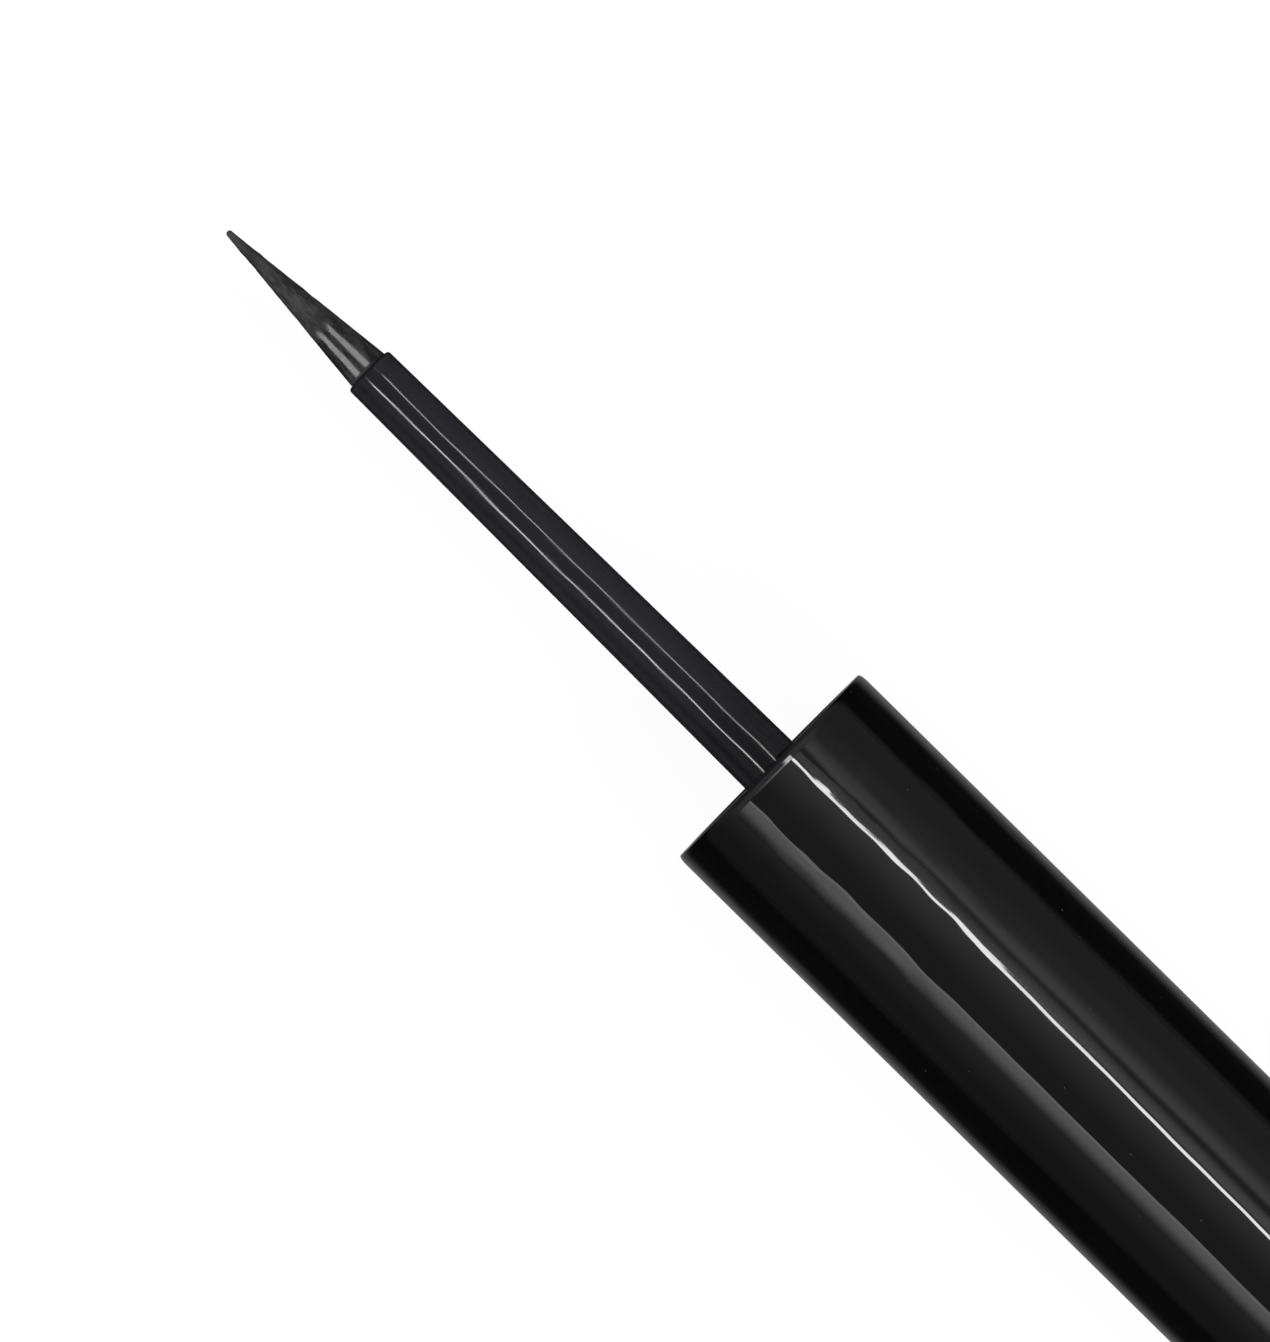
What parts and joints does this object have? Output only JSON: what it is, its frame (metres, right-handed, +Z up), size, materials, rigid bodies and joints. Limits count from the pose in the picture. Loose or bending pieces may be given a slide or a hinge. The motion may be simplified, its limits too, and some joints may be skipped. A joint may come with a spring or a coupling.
{
  "type": "dip eyeliner",
  "caption": "Liquid eyeliner: a glossy screw cap whose tapered stem carries a felt cone, drawn out of a slim cylindrical ink bottle.",
  "frame": {"origin": "middle of the lying object, on the surface it rests on", "axes": "+X along the object from the base of the bottle to the closed end of the cap, +Z up, +Y across"},
  "size_m": [0.1708, 0.0126, 0.0125],
  "materials": {
    "gloss_black": "high gloss black moulded plastic",
    "inner_black": "satin black moulded plastic",
    "stem_black": "glossy black moulded rod",
    "inked_felt": "porous felt fibre soaked with black ink",
    "seal_foam": "soft closed-cell seal, off-white",
    "vial_plastic": "natural translucent moulded plastic, drawn opaque",
    "wiper_plastic": "soft natural moulded plastic",
    "label_film": "blank satin film",
    "ball_steel": "polished stainless steel"
  },
  "bodies": {
    "bottle": {"bottle_sleeve": "gloss_black", "vial": "vial_plastic", "wiper": "wiper_plastic", "base_plug": "gloss_black", "shade_label": "label_film"},
    "ring": {"shoulder_ring": "gloss_black"},
    "seal": {"seal_washer": "seal_foam"},
    "applicator": {"outer_cap": "gloss_black", "inner_cap": "inner_black", "stem": "stem_black", "felt_tip": "inked_felt"},
    "ball": {"mixing_ball": "ball_steel"}
  },
  "joints": [
    {"name": "cap_twist", "type": "hinge", "parent": "bottle", "child": "ring", "pos_m": [-0.0427, 0, 0.00625], "axis": [-1, 0, 0], "range_deg": [0, 360]},
    {"name": "dip_slide", "type": "slide", "parent": "ring", "child": "seal", "axis": [-1, 0, 0], "range_m": [0, 0.06392]},
    {"name": "thread_advance", "type": "slide", "parent": "seal", "child": "applicator", "axis": [-1, 0, 0], "range_m": [0, 0.0024]},
    {"name": "ball_roll", "type": "slide", "parent": "bottle", "child": "ball", "axis": [1, 0, 0], "range_m": [0, 0.0337]}
  ],
  "couplings": [
    {"joint": "thread_advance", "follows": "cap_twist", "m_per_rad": 0.00038197}
  ]
}
